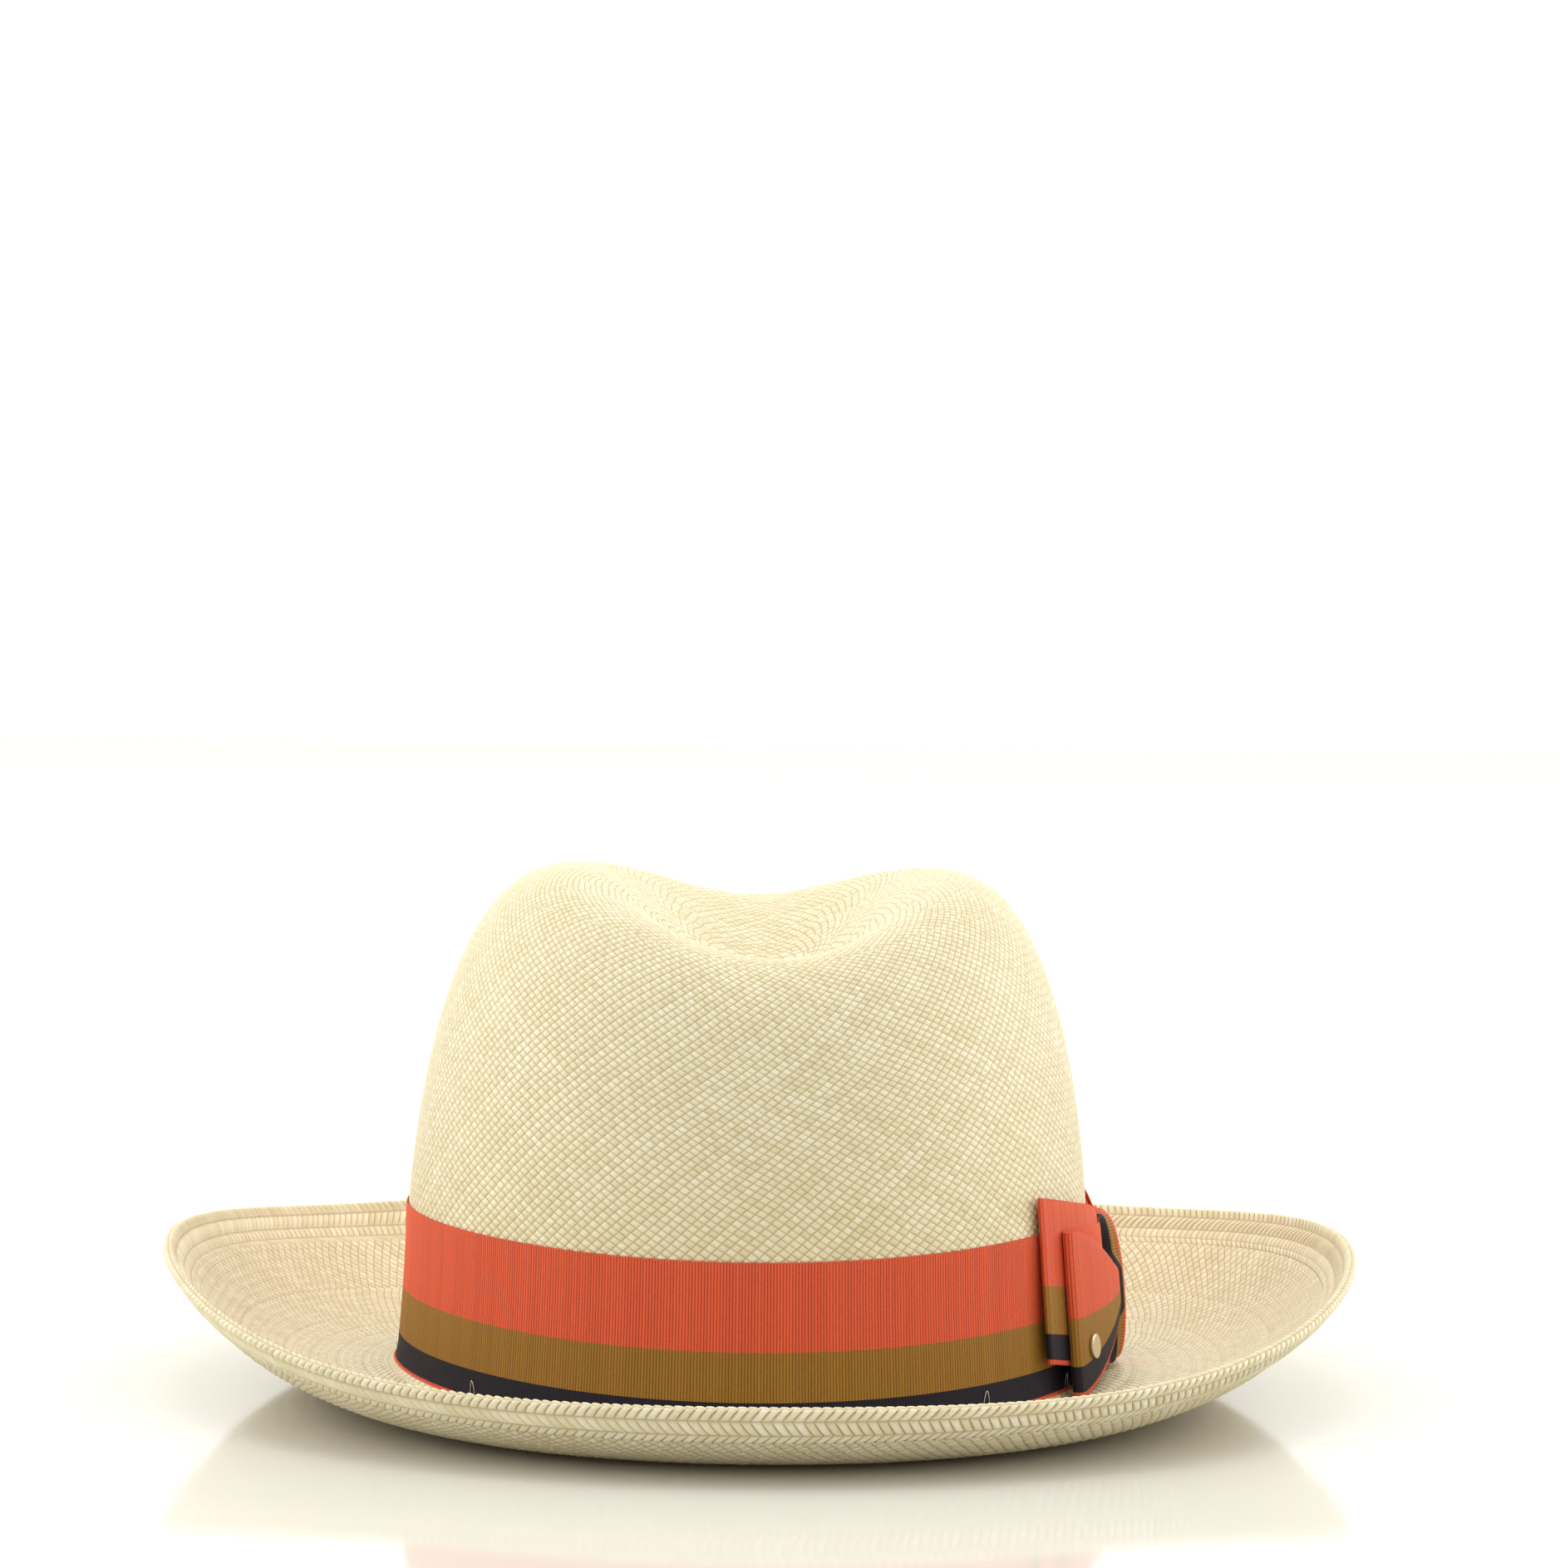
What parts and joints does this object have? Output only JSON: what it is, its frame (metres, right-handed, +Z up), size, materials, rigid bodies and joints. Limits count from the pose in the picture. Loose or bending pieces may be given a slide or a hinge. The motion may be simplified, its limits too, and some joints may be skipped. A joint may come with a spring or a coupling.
{
  "type": "fedora hat",
  "caption": "Woven straw fedora with a centre-dent crown, an upswept brim, a striped grosgrain band with a side bow, a small metal badge and a leather sweatband.",
  "frame": {"origin": "on the table, under the middle of the crown", "axes": "-Y is the hat's front, +X the wearer's left where the bow is, +Z up"},
  "size_m": [0.302, 0.3343, 0.13],
  "materials": {
    "straw": "natural woven toquilla straw, satin",
    "band_ribbon": "ribbed grosgrain with coral, ochre and navy stripes",
    "bow_ribbon": "the same striped grosgrain, folded",
    "badge_metal": "satin",
    "clutch_metal": "plain",
    "leather": "smooth tan",
    "reed": "clear",
    "tape": "oiled cloth",
    "thread": "waxed thread",
    "paper": "blank paper",
    "seam_ribbon": "narrow ribbon",
    "clear_thread": "clear monofilament"
  },
  "bodies": {
    "hat": {"straw_body": "straw", "hat_band": "band_ribbon", "bow_base_loop": "bow_ribbon", "bow_top_loop": "bow_ribbon", "bow_knot": "bow_ribbon", "badge_clutch": "clutch_metal", "sweatband": "leather", "sweatband_reed": "reed", "reed_tape": "tape", "sweatband_stitches": "thread", "size_tag": "paper", "seam_bow": "seam_ribbon", "seam_bow_wrap": "seam_ribbon", "band_tacks": "clear_thread"},
    "badge_pin": {"badge": "badge_metal"}
  },
  "joints": [
    {"name": "badge_pull", "type": "slide", "parent": "hat", "child": "badge_pin", "axis": [0.9073, -0.4112, 0.0877], "range_m": [0, 0.005]}
  ]
}
